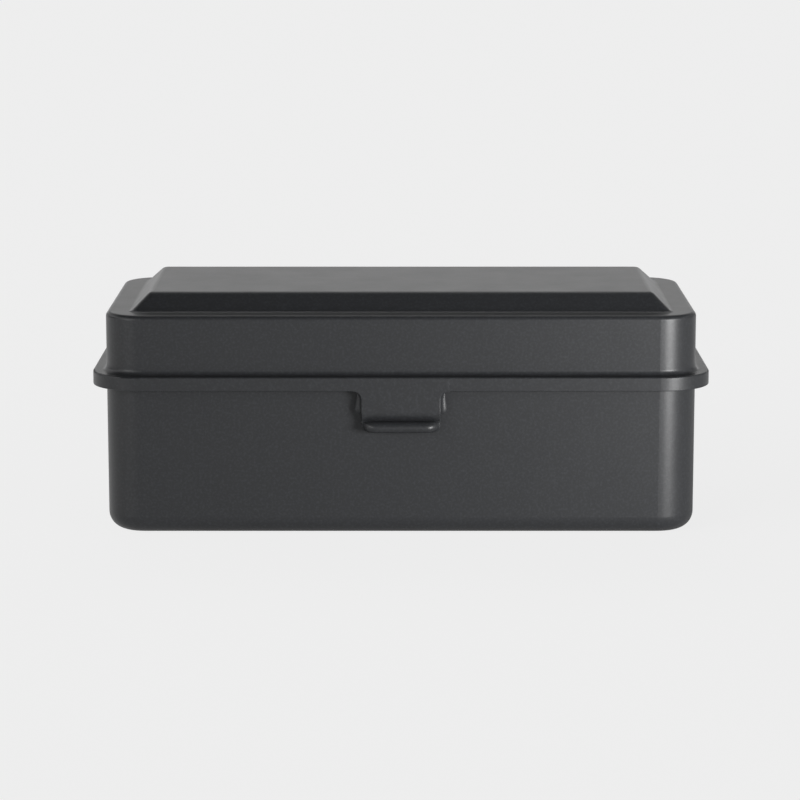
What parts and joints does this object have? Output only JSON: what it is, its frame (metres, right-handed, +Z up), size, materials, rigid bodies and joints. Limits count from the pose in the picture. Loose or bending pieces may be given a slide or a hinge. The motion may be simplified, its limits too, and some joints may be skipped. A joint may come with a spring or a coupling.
{
  "type": "film case",
  "caption": "Rounded rectangular pressed-steel box with a hinged lid, a raised top panel, a stepped band round the rim and a spring latch tongue in front, for rolls of film.",
  "frame": {"origin": "middle of the flat base, under the middle of the case walls", "axes": "+X the long way to the right seen from the front, -Y towards the front with the latch tongue, +Z up"},
  "size_m": [0.1764, 0.0906, 0.068],
  "materials": {
    "black_powder_coat": "satin fine texture",
    "black_oxide_steel": "black oxide",
    "bare_steel_wire": "drawn wire",
    "black_foam": "closed-cell foam sheet"
  },
  "bodies": {
    "body": {"body_shell": "black_powder_coat", "rim_wire": "bare_steel_wire", "base_pad": "black_foam", "hinge_left_body_leaf": "black_powder_coat", "hinge_left_pin": "black_oxide_steel", "hinge_left_body_rivet_1": "black_oxide_steel", "hinge_left_body_rivet_2": "black_oxide_steel", "hinge_right_body_leaf": "black_powder_coat", "hinge_right_pin": "black_oxide_steel", "hinge_right_body_rivet_1": "black_oxide_steel", "hinge_right_body_rivet_2": "black_oxide_steel"},
    "lid": {"lid_shell": "black_powder_coat", "lid_pad": "black_foam", "hinge_left_lid_leaf": "black_powder_coat", "hinge_left_lid_rivet_1": "black_oxide_steel", "hinge_left_lid_rivet_2": "black_oxide_steel", "hinge_right_lid_leaf": "black_powder_coat", "hinge_right_lid_rivet_1": "black_oxide_steel", "hinge_right_lid_rivet_2": "black_oxide_steel"},
    "latch": {"latch_tongue": "black_powder_coat"}
  },
  "joints": [
    {"name": "lid_hinge", "type": "hinge", "parent": "body", "child": "lid", "pos_m": [0, 0.0419, 0.0401], "axis": [-1, 0, 0], "range_deg": [0, 115]},
    {"name": "latch_flex", "type": "hinge", "parent": "lid", "child": "latch", "pos_m": [0, -0.04355, 0.04215], "axis": [-1, 0, 0], "range_deg": [0, 6], "stiffness_Nm_per_rad": 0.4}
  ]
}
